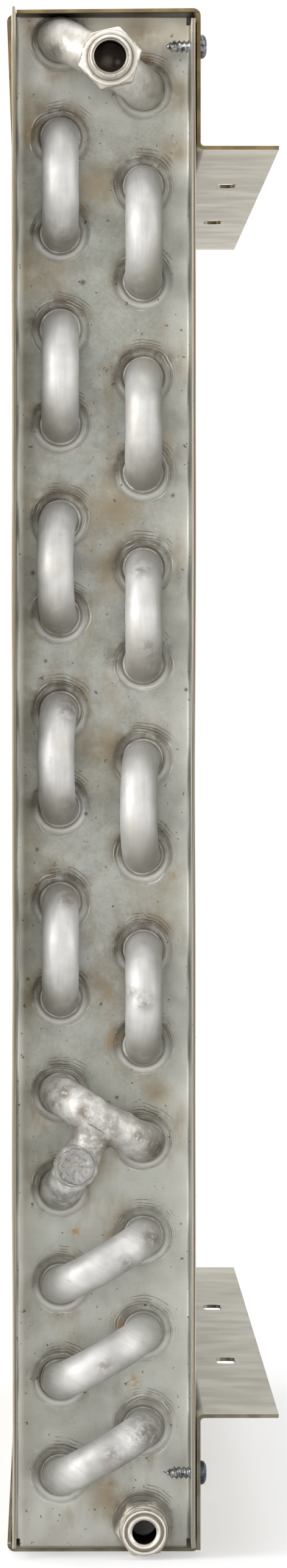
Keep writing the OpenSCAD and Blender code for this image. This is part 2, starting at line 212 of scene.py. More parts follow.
class Surface(Graph):
    """A material whose base colour is laid on in layers, at places in millimetres."""

    def __init__(self, name, metallic=0):
        self.material = bpy.data.materials.new(name)
        self.material.use_nodes = True
        super().__init__(self.material.node_tree)
        self.shader = self.add("ShaderNodeBsdfPrincipled", {"Metallic": metallic})
        self.output = self.add("ShaderNodeOutputMaterial", {0: self.shader.outputs[0]})
        coords = self.add("ShaderNodeTexCoord").outputs
        scaled = self.add("ShaderNodeVectorMath", {0: coords["Object"], "Scale": 1 / MM}, operation="SCALE")
        self.at = scaled.outputs[0]
        self.x, self.y, self.z = self.split(self.at)
        self.off_middle = self.amount(self.y)
        _, self.normal_y, self.normal_z = self.split(coords["Normal"])

    def ground(self, mask, first, second):
        """The first layer, of two tones."""
        self.base = self.mix(mask, first, second)

    def lay(self, tone, mask, share=None):
        """Lays a tone over the base colour where the mask is one."""
        if share is not None:
            mask = self.times(mask, share)
        self.base = self.mix(mask, self.base, tone)

    def roughen(self, size, detail, low, high, extra=None):
        """Blotches of roughness between two levels."""
        roughness = self.patches(size, detail, 0.3, 0.7, out=(low, high))
        if extra is not None:
            roughness = self.plus(roughness, extra)
        self.set(self.shader.inputs["Roughness"], roughness)

    def bump(self, height, strength, distance):
        """A bump of about distance millimetres."""
        inputs = {"Strength": strength, "Distance": distance * MM, "Height": height}
        self.set(self.shader.inputs["Normal"], self.add("ShaderNodeBump", inputs).outputs[0])

    def done(self):
        self.set(self.shader.inputs["Base Color"], self.base)
        return self.material

    def noise(self, size, detail, rough=0.5, stretch=None, slant=None):
        """Noise from 0 to 1 whose blotches are about size millimetres across, maybe turned about Y."""
        place = self.at
        if slant is not None:
            turned = {"Vector": place, "Angle": math.radians(slant)}
            place = self.add("ShaderNodeVectorRotate", turned, rotation_type="Y_AXIS").outputs[0]
        if stretch:
            place = self.add("ShaderNodeVectorMath", {0: place, 1: stretch}, operation="MULTIPLY").outputs[0]
        inputs = {"Vector": place, "Scale": 1 / size, "Detail": detail, "Roughness": rough}
        return self.add("ShaderNodeTexNoise", inputs).outputs[0]

    def patches(self, size, detail, low, high, out=(0, 1), rough=0.5, stretch=None):
        """A mask of noise blotches, ramped between two levels."""
        return self.step(self.noise(size, detail, rough, stretch), low, high, *out)

    def from_tube(self):
        """Offsets across and up from the nearest tube's axis, and the distance."""
        right = self.math("GREATER_THAN", self.x, (LEFT_X + RIGHT_X) / 2)
        middle_x = self.plus(self.times(right, RIGHT_X - LEFT_X), LEFT_X)
        middle_z = self.plus(self.times(right, -PITCH / 2), TOP_ROW_Z)
        across = self.minus(self.x, middle_x)
        up = self.minus(self.z, middle_z)
        row = self.math("ROUND", self.math("DIVIDE", up, PITCH))
        row = self.math("MINIMUM", self.most(row, 1 - ROWS), 0)
        up = self.minus(up, self.times(row, PITCH))
        return across, up, self.distance(across, up)

    def from_axis(self, axis):
        """Distance from a line along Y through axis = (x, z)."""
        return self.distance(self.minus(self.x, axis[0]), self.minus(self.z, axis[1]))

    def spots(self, places):
        """One at each (x, z, radius) in places, fading outwards."""
        total = 0
        for x, z, radius in places:
            total = self.most(total, self.step(self.from_axis((x, z)), radius, 0))
        return total

    def facing_y(self):
        """One on faces that look along Y, such as the cut ends of the sheets."""
        return self.step(self.amount(self.normal_y), 0.75, 0.9)

    def facing_down(self):
        """One on faces that look down."""
        return self.step(self.normal_z, -0.1, -0.75)


# Marks at set places, each as (x, z, radius): rust spots, brown stains and dark pits on the near plate
RUST_SPOTS = [
    (2.9, 136, 4.5), (18.6, 180.3, 3), (-7.6, 84.8, 3.2), (8.2, 44.8, 3.5), (-4.9, 267.3, 1.5),
    (-18.5, 377, 3.5), (4.5, 61, 3), (12.5, 396, 3.5), (1.5, 17, 3.5),
]
STAINS = [
    (3, 277, 12), (3.5, 262, 9), (2, 150, 10), (-1.5, 362, 11), (-18, 378, 10),
    (7, 397, 12), (-2, 214, 8), (-4, 103, 9), (1, 14, 10), (19, 372, 7),
    (-19, 340, 12), (14.5, 122, 6), (-19.5, 384, 9), (10.1, 402.4, 9), (18, 388, 8),
    (-12.8, 393.1, 5),
]
PITS = [
    (-18.7, 260, 1.1), (18.5, 280.6, 0.9), (-15.3, 236.6, 0.8), (22, 229, 0.9), (-5.4, 337.2, 1.2),
    (-4.6, 196, 0.8), (-17.6, 186.5, 0.9), (14.2, 236.9, 0.9), (3.6, 120.5, 0.8), (-20, 152, 0.9),
]

# The same for smears on the tubes, and burnt and grey patches on the three-way joint
SMEARS = [
    (2.3, 27, 6), (11.3, 32.8, 8), (0.4, 50.4, 4), (5.9, 77.9, 4), (12.8, 84, 4.2),
    (-11.9, 244.6, 5), (11.7, 239.5, 4.5), (9.9, 260.8, 4), (-9.7, 197.8, 4.5), (-9, 223.9, 5),
    (-9.5, 174.4, 5), (-6.6, 146, 3.5), (7.3, 149.4, 3), (10.9, 146.8, 4.5), (-9.6, 347.7, 4.5),
    (-12.6, 397.6, 4),
]
BURNT = [(14.8, 106.6, 7.5), (9.2, 111.2, 2.6), (1.2, 108.4, 4.5), (-5.7, 118.1, 3), (-10.3, 122.5, 2.6)]
GREYED = [
    (0.3, 112, 9.5), (-6.6, 104.3, 10), (-4.5, 117, 4.5), (-3.5, 110.5, 7.5), (2, 114.5, 7),
    (-12.5, 119.5, 3), (-2.8, 107.5, 5), (-10.4, 94.6, 6.5),
]
# The same for paler patches deep inside the inlet's bore
BORE_GLINTS = [
    (INLET_AXIS[0] - 0.8, INLET_AXIS[1] - 0.6, 2.2),
    (INLET_AXIS[0] + 2, INLET_AXIS[1] - 0.8, 1.1),
]

# Where the fittings' bores turn dark, just behind their faces
INLET_FACE_Y = -273.6
OUTLET_FACE_Y = -266

# Scratched rings round each tube, as (radius, half width, strength)
RING_LINES = [
    (5.9, 0.15, 0.4), (6.5, 0.13, 0.45), (7.1, 0.16, 0.6), (7.6, 0.12, 0.75), (8.2, 0.13, 0.5),
    (8.9, 0.12, 0.4),
]
# Radii of the dark arcs above each collar and of the painted highlight rings on it
ARCS = (8.3, 9, 9.9)
PAINTED_HIGHLIGHT_RINGS = (6.9, 7.75)
FINE_LINE = 0.18


def plate_tones(g):
    """Grey-green zinc, darker beside the left flange, with painted light at the right, the foot, the top and
    under the top channel.
    """
    g.ground(g.patches(38, 4, 0.35, 0.65), (0.32, 0.33, 0.28), (0.395, 0.405, 0.37))
    g.lay((0.305, 0.295, 0.25), g.patches(5, 6, 0.34, 0.7, rough=0.65))
    g.lay((0.46, 0.46, 0.425), g.patches(0.9, 4, 0.3, 0.72, out=(0, 0.45), rough=0.7))
    left = g.times(g.step(g.x, -15, -22.5), g.patches(24, 4, 0.25, 0.6))
    g.lay((0.215, 0.21, 0.14), left, 0.75)
    lower_third = g.times(g.step(g.z, 150, 95), g.patches(30, 4, 0.25, 0.55))
    g.lay((0.53, 0.535, 0.485), lower_third, 0.7)
    # painted light: paler at the right, the foot and the top, against the shade of the flanges and channels
    painted_light_edges = g.most(g.step(g.x, 13, 21, 0, 0.75), g.step(g.z, 34, 12), g.step(g.z, 372, 396))
    g.lay((0.61, 0.605, 0.56), painted_light_edges, 0.65)
    # painted light: paler just under the top channel, where its shadow falls
    painted_light_under_channel = g.step(g.z, 397.5, 402.5, 0, 0.9)
    g.lay((0.9, 0.835, 0.7), painted_light_under_channel)


def plate_stains(g, across, up, away):
    """Brown stains between the columns, and round the collars brown dirt, painted shade, and painted light
    in the dish and below each tube.
    """
    run_down = g.patches(9, 6, 0.48, 0.7, rough=0.65, stretch=(1, 1, 0.4))
    g.lay((0.3, 0.235, 0.14), g.times(run_down, g.step(away, 19, 7.5)), 0.65)
    stain = g.times(g.spots(STAINS), g.patches(8, 5, 0.26, 0.56, rough=0.65))
    g.lay((0.27, 0.205, 0.11), stain, 0.75)
    # painted light: the dish round each tube is paler, against the shade in it
    g.lay((0.64, 0.63, 0.58), g.step(away, 8, 6.8), 0.55)
    # brown dirt with painted shade on the upper left of each collar
    upper_left = g.minus(up, g.times(across, 0.35))
    dirt_and_shade_above = g.times(g.step(upper_left, -3, 5.5), g.step(away, 11.5, 7),
                   g.patches(5, 5, 0.32, 0.58, rough=0.6), g.step(g.z, 70, 160, 0.3, 0.72))
    g.lay((0.155, 0.12, 0.08), dirt_and_shade_above)
    shade = g.times(g.step(across, -0.5, -5), g.band(away, 6.2, 1.9))
    g.lay((0.2, 0.18, 0.14), shade, 0.5)
    # painted light: a pale crescent below each tube, as if lit from above
    painted_light_below = g.times(g.step(up, 0.5, -4), g.band(away, 6.7, 1.5))
    g.lay((0.86, 0.85, 0.8), painted_light_below, 0.75)
    # the folds and the flanges' inner faces catch more light than the web
    folds = g.times(g.step(g.amount(g.x), 20.6, 22.6), g.step(g.off_middle, 262, 243))
    g.lay((0.72, 0.71, 0.64), folds, g.step(g.x, -10, 10, 0.75, 0.2))
    rust = g.times(g.spots(RUST_SPOTS), g.patches(2.4, 6, 0.42, 0.62, rough=0.7))
    g.lay((0.42, 0.25, 0.085), rust, 0.8)


def plate_rings(g, across, up, away):
    """Scratched rings left by the collar tool, off centre and broken up, with painted highlight rings, and
    painted shade and brown dirt where each tube enters.
    """
    ring_at = g.plus(away, g.times(g.minus(g.noise(9, 2), 0.5), 2.6))
    breaks = g.times(g.patches(4, 4, 0.48, 0.57), g.step(up, -6, 4, 0.45, 1))
    for radius, half, depth in RING_LINES:
        g.lay((0.085, 0.07, 0.05), g.times(g.band(ring_at, radius, half), breaks), depth)
    toward = g.plus(g.times(up, 0.95), g.times(across, 0.31))
    above = g.times(g.step(g.minus(toward, away), -2.6, -1), g.patches(4.5, 3, 0.42, 0.52))
    for radius in ARCS:
        g.lay((0.06, 0.05, 0.035), g.times(g.band(ring_at, radius, FINE_LINE), above), 0.7)
    # painted highlights: broken pale rings on the collar's slope
    highlight_breaks = g.patches(6, 4, 0.5, 0.62)
    for radius in PAINTED_HIGHLIGHT_RINGS:
        g.lay((0.86, 0.85, 0.79), g.times(g.band(ring_at, radius, FINE_LINE), highlight_breaks), 0.75)
    # painted shade and brown dirt where the tube enters, darker above
    seat_shade_and_dirt = g.times(g.step(away, 6, 5.1), g.patches(6, 3, 0.35, 0.6), g.step(up, -5, 2, 0.35, 0.75))
    g.lay((0.13, 0.105, 0.075), seat_shade_and_dirt)


def plate_edges(g):
    """Pits and pale nicks, and the flanges' cut edges: brown, with a dark burr along each border."""
    g.lay((0.07, 0.06, 0.045), g.spots(PITS), 0.85)
    g.lay((0.1, 0.09, 0.07), g.patches(1.4, 2, 0.71, 0.74, out=(0, 0.8)))
    g.lay((0.68, 0.67, 0.62), g.patches(1.2, 2, 0.735, 0.76, out=(0, 0.6), stretch=(2, 1, 0.7)))
    cut = g.times(g.facing_y(), g.step(g.off_middle, -FLANGE_Y - 3, -FLANGE_Y - 2))
    g.lay((0.235, 0.185, 0.12), cut, 0.85)
    wide = g.amount(g.x)
    burr = g.most(g.band(wide, PLATE_HALF - SHEET + 0.12, 0.3), g.band(wide, PLATE_HALF, 0.25),
                  g.band(g.x, PLATE_HALF, 0.65))
    g.lay((0.05, 0.04, 0.028), g.times(cut, burr), 0.85)


def plate_material():
    """Grey-green galvanised sheet, stained and scratched round the tubes."""
    g = Surface("plate_sheet", metallic=0.7)
    across, up, away = g.from_tube()
    plate_tones(g)
    plate_stains(g, across, up, away)
    plate_rings(g, across, up, away)
    plate_edges(g)
    grain = g.noise(1.8, 5, 0.65, stretch=(1, 1, 5))
    g.roughen(7, 5, 0.36, 0.52)
    g.bump(g.plus(g.times(grain, 0.12), g.noise(16, 2)), 0.5, 0.5)
    return g.done()


def channel_material():
    """Warm grey sheet with a fine grain across it and browned cut edges."""
    g = Surface("channel_sheet", metallic=0.7)
    g.ground(g.patches(45, 4, 0.35, 0.68), (0.46, 0.42, 0.335), (0.54, 0.5, 0.405))
    g.lay((0.38, 0.35, 0.285),
          g.patches(5, 5, 0.35, 0.75, out=(0, 0.18), rough=0.65, stretch=(0.05, 1, 1)))
    g.lay((0.6, 0.58, 0.51), g.patches(0.9, 4, 0.35, 0.75, out=(0, 0.35), rough=0.7))
    g.lay((0.31, 0.245, 0.15), g.patches(16, 5, 0.56, 0.72, rough=0.6), 0.4)
    g.lay((0.15, 0.13, 0.1), g.patches(1.3, 2, 0.73, 0.76, out=(0, 0.7)))
    # painted shade: the bottom channel is darker, against the light on its upper face
    g.lay((0.36, 0.345, 0.275), g.step(g.z, 60, 45, 0, 0.4))
    # painted reflection: undersides paler, as if lit by the pale floor
    painted_underside = g.facing_down()
    g.lay((0.76, 0.69, 0.56), painted_underside, 0.55)
    # painted shade: the top web's underside is dark at its two open ends, near black at the plate and
    # browner towards the edge
    ends = g.times(g.step(g.z, 402, 406), g.step(g.off_middle, -PLATE_Y - 2, -PLATE_Y))
    painted_shade_tone = g.mix(g.step(g.off_middle, 262.5, 255), (0.12, 0.085, 0.03), (0.012, 0.011, 0.011))
    g.base = g.mix(g.times(ends, painted_underside), g.base, painted_shade_tone)
    # cut ends: golden at the top, olive at the foot, with a dark burr
    blotches = g.patches(6, 4, 0.35, 0.65)
    gold = g.mix(blotches, (0.21, 0.145, 0.05), (0.115, 0.075, 0.026))
    olive = g.mix(blotches, (0.19, 0.175, 0.12), (0.11, 0.095, 0.06))
    cut = g.mix(g.step(g.z, 120, 300), olive, gold)
    burr = g.most(g.band(g.z, SHEET, 0.3), g.band(g.z, FRAME_TOP - SHEET, 0.3))
    cut = g.mix(g.times(burr, 0.85), cut, (0.03, 0.025, 0.015))
    g.base = g.mix(g.times(g.facing_y(), 0.95), g.base, cut)
    g.roughen(18, 4, 0.38, 0.54)
    g.bump(g.noise(2.4, 4, stretch=(0.15, 3, 3)), 0.25, 0.04)
    return g.done()


def tube_surface(name, pale, dark, lumps=0, slant=0, shade_and_dirt_amount=1, painted_light_ends=0):
    """Satin aluminium tube. lumps: how uneven; the last two: how much brown dirt and painted shade at its
    underside and near the plate, and how much painted light on its ends.
    """
    g = Surface(name, metallic=0.35)
    _, _, away = g.from_tube()
    g.ground(g.patches(9, 4, 0.35, 0.68), pale, dark)
    # painted light: paler ends
    g.lay((0.86, 0.855, 0.835), g.step(away, 9.5, 4, 0, painted_light_ends))
    grain = g.noise(0.9, 4, 0.6, stretch=(1, 0.25, 0.07), slant=slant)
    g.lay((0.36, 0.35, 0.33), g.step(grain, 0.4, 0.75, 0, 0.28 - 0.15 * lumps))
    scuffs = g.patches(2.6, 6, 0.6 - 0.08 * lumps, 0.74, rough=0.72)
    g.lay((0.27, 0.24, 0.215), scuffs, 0.35 + 0.25 * lumps)
    g.lay((0.29, 0.28, 0.27), g.patches(4.5, 5, 0.46, 0.62, rough=0.6), 0.5 * lumps)
    smear = g.times(g.spots(SMEARS), g.patches(2.4, 5, 0.38, 0.6, rough=0.65))
    g.lay((0.25, 0.22, 0.195), smear, 0.85)
    brown = g.times(g.patches(6, 4, 0.48, 0.68), g.patches(30, 2, 0.45, 0.6))
    g.lay((0.46, 0.39, 0.29), brown, 0.28)
    # painted shade on the undersides, in blotches
    painted_underside = g.times(g.facing_down(), g.patches(7, 4, 0.2, 0.5))
    g.lay((0.25, 0.23, 0.185), painted_underside, 0.7 * shade_and_dirt_amount)
    # brown dirt and painted shade near the plate
    seat_shade_and_dirt = g.times(g.step(g.off_middle, 247, 241), g.patches(4.5, 4, 0.25, 0.55))
    g.lay((0.24, 0.195, 0.14), seat_shade_and_dirt, 0.65 * shade_and_dirt_amount)
    # painted shade: the inner walls are dark deep inside the tube
    bore = g.times(g.step(away, TUBE_R - 0.45, TUBE_R - 0.65), g.step(g.off_middle, 246, 244.5))
    g.lay((0.03, 0.022, 0.012), bore)
    g.roughen(5, 4, 0.44, 0.54 + 0.06 * lumps)
    g.bump(g.plus(g.times(grain, 0.05), g.noise(3.5 - 1.2 * lumps, 4)), 0.5, 0.2 + 0.6 * lumps)
    return g


def joint_material():
    """Whitish brazed joint, greyed at its neck and burnt brown at one end."""
    g = tube_surface("joint", (0.65, 0.635, 0.585), (0.48, 0.465, 0.425), 1, shade_and_dirt_amount=0.4, painted_light_ends=0.55)
    grey = g.times(g.spots(GREYED), g.patches(2.2, 5, 0.36, 0.58, rough=0.65))
    g.lay((0.265, 0.25, 0.24), grey, 0.85)
    burnt = g.times(g.spots(BURNT), g.patches(1.6, 5, 0.28, 0.5, rough=0.65))
    g.lay((0.16, 0.12, 0.09), burnt, 0.9)
    return g.done()


def cap_material():
    """The branch's closed end: grey filler with broken darker rings."""
    g = tube_surface("cap", (0.295, 0.29, 0.28), (0.185, 0.18, 0.17), 1)
    wander = g.times(g.minus(g.noise(2.4, 3), 0.5), 4.5)
    port = g.plus(g.from_axis(PORT_AXIS), wander)
    breaks = g.patches(1.7, 4, 0.38, 0.55)
    for radius, half, depth in ((4.6, 0.45, 0.75), (3, 0.35, 0.6), (1.4, 0.35, 0.5)):
        g.lay((0.1, 0.095, 0.09), g.times(g.band(port, radius, half), breaks), depth)
    return g.done()


def fitting_material():
    """Turned light alloy with fine rings and painted highlight rings, brown just behind the faces and
    painted shade deeper inside its bores.
    """
    g = Surface("fitting", metallic=0.8)
    from_inlet, from_outlet = g.from_axis(INLET_AXIS), g.from_axis(OUTLET_AXIS)
    g.ground(g.patches(5, 4, 0.35, 0.65), (0.64, 0.605, 0.54), (0.48, 0.445, 0.385))
    g.lay((0.22, 0.175, 0.12), g.patches(1.8, 5, 0.55, 0.7, rough=0.7), 0.55)
    for off, radius, half in ((from_inlet, 6, 0.45), (from_inlet, 4.7, 0.25),
                              (from_outlet, 6.4, 0.4), (from_outlet, 4.7, 0.45)):
        g.lay((0.13, 0.1, 0.07), g.band(off, radius, half), 0.85)
    # painted highlights: pale rings on the turned steps
    for off, radius in ((from_inlet, 5.25), (from_inlet, 6.9), (from_outlet, 5.6), (from_outlet, 4.05)):
        g.lay((0.88, 0.85, 0.78), g.band(off, radius, 0.35), 0.6)
    scored = g.patches(2.2, 4, 0.42, 0.56)
    for off, radius in ((from_inlet, 7.35), (from_inlet, 5), (from_outlet, 7), (from_outlet, 5.9)):
        g.lay((0.2, 0.145, 0.09), g.times(g.band(off, radius, 0.16), scored), 0.7)
    for off, bore, face in ((from_inlet, 4.2, INLET_FACE_Y), (from_outlet, 3.3, OUTLET_FACE_Y)):
        inside = g.step(off, bore + 0.15, bore + 0.02)
        # brown just behind each face, then painted shade deeper in the bore
        g.lay((0.075, 0.045, 0.016), g.times(inside, g.step(g.y, face - 0.6, face + 0.8)))
        g.lay((0.016, 0.011, 0.007), g.times(inside, g.step(g.y, face + 1, face + 4)))
    glint = g.times(g.spots(BORE_GLINTS), g.step(g.y, -266, -263))
    g.lay((0.13, 0.105, 0.085), glint, 0.8)
    dull = g.times(g.step(from_outlet, 3.6, 3.4), g.step(g.y, OUTLET_FACE_Y, OUTLET_FACE_Y + 1.5, 0, 0.5))
    g.roughen(3, 4, 0.3, 0.46, extra=dull)
    g.bump(g.noise(0.9, 3, stretch=(1, 5, 1)), 0.4, 0.08)
    return g.done()


def fin_material():
    """Thin bare aluminium with dust in the gaps."""
    g = Surface("fins", metallic=0.7)
    g.ground(g.patches(30, 5, 0.35, 0.7), (0.6, 0.6, 0.575), (0.48, 0.475, 0.44))
    g.lay((0.34, 0.31, 0.26), g.patches(7, 5, 0.52, 0.75, rough=0.65), 0.5)
    g.roughen(12, 3, 0.38, 0.52)
    g.bump(g.noise(3, 3), 0.3, 0.1)
    return g.done()


def screw_material():
    """Bluish zinc, dark on the head and bright on the thread, with painted light making the upper screws
    paler.
    """
    g = Surface("screw", metallic=0.85)
    # painted light: the upper screws are paler, against the top channel's shadow
    painted_light_upper = g.step(g.z, 150, 300)
    speckle = g.noise(1.2, 4)
    head_tone_with_painted_light = g.mix(painted_light_upper, (0.085, 0.1, 0.12), (0.26, 0.27, 0.28))
    head = g.mix(g.step(speckle, 0.4, 0.62), (0.03, 0.038, 0.052), head_tone_with_painted_light)
    shank_tone_with_painted_light = g.mix(painted_light_upper, (0.54, 0.55, 0.55), (0.86, 0.87, 0.87))
    shank = g.mix(g.step(speckle, 0.35, 0.6), (0.14, 0.15, 0.165), shank_tone_with_painted_light)
    g.base = g.mix(g.step(g.x, PLATE_HALF - 1.5, PLATE_HALF - 0.5), shank, head)
    g.roughen(1, 3, 0.22, 0.4)
    g.bump(g.noise(0.6, 3), 0.3, 0.05)
    return g.done()


PLATE = plate_material()
CHANNEL = channel_material()
TUBE = tube_surface("tube", (0.6, 0.595, 0.58), (0.485, 0.48, 0.46)).done()
SLANTED_TUBE = tube_surface("slanted_tube", (0.53, 0.525, 0.51), (0.415, 0.41, 0.39), 0.15,
                            slant=60, shade_and_dirt_amount=0.35, painted_light_ends=0.55).done()
CROSSOVER = tube_surface("crossover", (0.66, 0.635, 0.575), (0.51, 0.48, 0.415), 0.6,
                         shade_and_dirt_amount=0.3, painted_light_ends=0.15).done()
JOINT = joint_material()
CAP = cap_material()
FITTING = fitting_material()
FINS = fin_material()
SCREW = screw_material()


def spread(low, high, steps):
    """Evenly spaced numbers from low to high."""
    return [low + (high - low) * k / steps for k in range(steps + 1)]


def turn(steps):
    """Evenly spaced angles round a full circle."""
    return [2 * math.pi * k / steps for k in range(steps)]


def rings(levels, sides, point):
    """A row of points round each level, each given by point(level, angle)."""
    return [[point(level, angle) for angle in turn(sides)] for level in levels]


class Mesh:
    """Points in millimetres and faces, gathered from several shapes."""

    def __init__(self):
        self.points = []
        self.faces = []

    def add(self, points, faces):
        start = len(self.points)
        self.points += points
        self.faces += [tuple(i + start for i in face) for face in faces]

    def grid(self, rows, close_rows=False, close_columns=True):
        """Quads over rows of points that all have the same length."""
        tall, wide = len(rows), len(rows[0])
        faces = []
        for i in range(tall if close_rows else tall - 1):
            for j in range(wide if close_columns else wide - 1):
                i2, j2 = (i + 1) % tall, (j + 1) % wide
                faces.append((i * wide + j, i * wide + j2, i2 * wide + j2, i2 * wide + j))
        self.add([p for row in rows for p in row], faces)

    def sheet(self, rows, close_columns=True):
        """A grid whose rows run out along one face and back along the other, closed at both ends."""
        start, wide = len(self.points), len(rows[0])
        self.grid(rows, False, close_columns)
        for first in (start, start + wide * (len(rows) - 1)):
            for j in range(wide // 2 - 1):
                self.faces.append((first + j, first + j + 1, first + wide - 2 - j, first + wide - 1 - j))

    def build(self, name, material, slot, nodes=(), smooth_angle=40, weld=0.001):
        """Makes the object, rides it on the root body and hides the CAD parts that it stands for."""
        data = bpy.data.meshes.new(name)
        data.from_pydata([Vector(p) * MM for p in self.points], [], self.faces)
        tool = bmesh.new()
        tool.from_mesh(data)
        bmesh.ops.remove_doubles(tool, verts=tool.verts, dist=weld * MM)
        bmesh.ops.recalc_face_normals(tool, faces=tool.faces)
        limit = math.radians(smooth_angle)
        for edge in tool.edges:
            edge.smooth = len(edge.link_faces) == 2 and edge.calc_face_angle(math.pi) < limit
        for face in tool.faces:
            face.smooth = True
        tool.to_mesh(data)
        tool.free()
        data.materials.append(material)
        piece = new_object(name, data)
        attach(piece, "root")
        if nodes:
            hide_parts(*nodes)


def frames_along(path):
    """A side vector and an up vector at each point of a path, carried along without twist."""
    tangents = []
    for i in range(len(path)):
        ahead = path[min(i + 1, len(path) - 1)] - path[max(i - 1, 0)]
        tangents.append(ahead.normalized())
    side = tangents[0].orthogonal().normalized()
    out = []
    for tangent in tangents:
        side = (side - tangent * side.dot(tangent)).normalized()
        out.append((side, tangent.cross(side)))
    return out


def pipe_rows(path, radius, sides):
    """Rings of points along a path. radius(i, out, centre) says how far each is in the direction out."""
    def point(level, angle):
        i, centre, (side, up) = level
        out = side * math.cos(angle) + up * math.sin(angle)
        return centre + out * radius(i, out, centre)

    return rings(zip(range(len(path)), path, frames_along(path)), sides, point)


def add_pipe(mesh, path, radius, wall=TUBE_WALL, sides=32):
    """A pipe with an inner wall and flat rims at both ends."""
    outer = pipe_rows(path, radius, sides)
    inner = pipe_rows(path, lambda i, out, centre: max(radius(i, out, centre) - wall, 0.5), sides)
    mesh.grid(outer + inner[::-1], close_rows=True)


def make_pipe(name, node, material, path, radius, sides=32, slot="tube"):
    """A pipe that is a piece of its own."""
    mesh = Mesh()
    add_pipe(mesh, path, radius, sides=sides)
    mesh.build(name, material, slot, [node])


def u_path(a, b, end_y, bend_y, steps=20, straight_steps=3):
    """A path from tube a at end_y round a half circle beyond bend_y and back to tube b."""
    start = Vector((a[0], end_y, a[1]))
    stop = Vector((b[0], end_y, b[1]))
    across = (stop - start) / 2
    run = Vector((0, bend_y - end_y, 0))
    outward = run.normalized() * across.length
    middle = start + run + across
    straight = [run * k / straight_steps for k in range(straight_steps)]
    path = [start + part for part in straight]
    for angle in spread(0, math.pi, steps):
        path.append(middle - across * math.cos(angle) + outward * math.sin(angle))
    return path + [stop + part for part in straight[::-1]]


def lean_path(path, a, b, degrees):
    """Turns a bend about the line through its two ends, so that its crown leans sideways."""
    pivot = Vector((a[0], SEAT_Y, a[1]))
    axis = Vector((b[0] - a[0], 0, b[1] - a[1])).normalized()
    rotation = Matrix.Rotation(math.radians(degrees), 3, axis)
    return [pivot + rotation @ (p - pivot) for p in path]


def tube_radius(radius, rough, size, seed, squash=0):
    """A tube's radius with a little unevenness, and a flattened crown on a bend."""
    offset = Vector((seed * 17.3, seed * 5.1, seed * 9.7))

    def at(i, out, centre):
        uneven = rough * noise.noise((centre + out * radius) / size + offset)
        flat = squash * max(0, (BEND_Y - centre.y) / 12.7) * (-out.y) * abs(out.y)
        return radius + uneven - flat

    return at


# How far some upright bends lean to one side, in degrees
LEANS = {("left", 3): -4.6, ("left", 4): -3.8, ("right", 4): -4.6}


def bend_radius(seed):
    return tube_radius(BEND_R, 0.16, 7, seed, squash=0.25)


def make_return_bends():
    """The plain bends at the near end, each its own piece."""
    for side, tube in (("left", left_tube), ("right", right_tube)):
        for i in range(1, 6):
            a, b = tube(2 * i + 1), tube(2 * i)
            path = lean_path(u_path(a, b, SEAT_Y, BEND_Y), a, b, LEANS.get((side, i), 0))
            make_pipe(f"{side}_return_bend_{i}", f"bend_{side}_{i}", TUBE, path,
                      bend_radius(i + len(side)))
    for i in range(1, 4):
        path = u_path(left_tube(JOINT_ROW + 1 + i), right_tube(JOINT_ROW + i), SEAT_Y, BEND_Y)
        make_pipe(f"slanted_return_bend_{i}", f"bend_slant_{i}", SLANTED_TUBE, path, bend_radius(i + 20))


def make_hairpins():
    """The long tubes with their bends at the far end."""
    pairs = []
    for i in range(1, 7):
        pairs.append((f"left_{i}", left_tube(2 * i), left_tube(2 * i - 1)))
        pairs.append((f"right_{i}", right_tube(2 * i), right_tube(2 * i - 1)))
    for i in range(1, 5):
        row = JOINT_ROW + i
        pairs.append((f"cross_{i}", right_tube(row), left_tube(row)))
    for name, a, b in pairs:
        path = u_path(a, b, SEAT_Y, -BEND_Y, straight_steps=2)
        make_pipe(f"hairpin_tube_{name}", f"hairpin_{name}", TUBE, path,
                  lambda i, out, centre: TUBE_R, sides=28)


# The dished collar, as (distance from the tube's axis, depth below the sheet's face)
COLLAR = [
    (4.95, 4.3), (5, 3.2), (5.12, 1.6), (5.35, 0.68), (5.8, 0.48), (6.3, 0.42), (6.7, 0.35),
    (7.05, 0.26), (7.4, 0.15), (7.7, 0.06), (8, 0), (8.4, -0.03), (9.2, 0),
]
COLLAR_SIDES = 56
WEB_SPACING = 4
WEB_STEPS = 60
FLANGE_STEPS = 100
FOLD_IN = 1
NEAR_ENOUGH = 1e-3


def collar_depth(distance):
    """The collar's depth at a distance from the tube's axis, between the named points."""
    for (r0, d0), (r1, d1) in zip(COLLAR, COLLAR[1:]):
        if distance <= r1:
            share = max(0, (distance - r0) / (r1 - r0))
            return d0 + (d1 - d0) * share
    return 0


def nearest_tube(x, z):
    return min(math.hypot(x - tube[0], z - tube[1]) for tube in TUBES)


def web_points(half, low, high, edge_z):
    """The plane points that the web is triangulated from."""
    points = []
    for tube_x, tube_z in TUBES:
        for radius, _ in COLLAR:
            for angle in turn(COLLAR_SIDES):
                x, z = tube_x + radius * math.cos(angle), tube_z + radius * math.sin(angle)
                if low + 0.15 < z < high - 0.15:
                    points.append((x, z))
    for i in range(-5, 6):
        x, z = i * WEB_SPACING, low + WEB_SPACING
        while z < high - 1:
            if nearest_tube(x, z) > COLLAR[-1][0] + 1.2:
                points.append((x, z))
            z += WEB_SPACING
    for x in spread(-half, half, WEB_STEPS):
        points += [(x, low), (x, high)]
    points += [(side * half, z) for side in (-1, 1) for z in edge_z]
    return points


def web_triangles(points):
    """The web's corners, its triangles outside the tubes' holes, and its free edges."""
    flat, _, triangles, *_ = delaunay_2d_cdt([Vector(p) for p in points], [], [], 0, 1e-4)
    kept = []
    for triangle in triangles:
        middle = sum([flat[i] for i in triangle], Vector((0, 0))) / 3
        if nearest_tube(middle.x, middle.y) > COLLAR[0][0] - 0.02:
            kept.append(tuple(triangle))
    edges = dict.fromkeys((a, b) for t in kept for a, b in zip(t, t[1:] + t[:1]))
    return flat, kept, [(a, b) for a, b in edges if (b, a) not in edges]


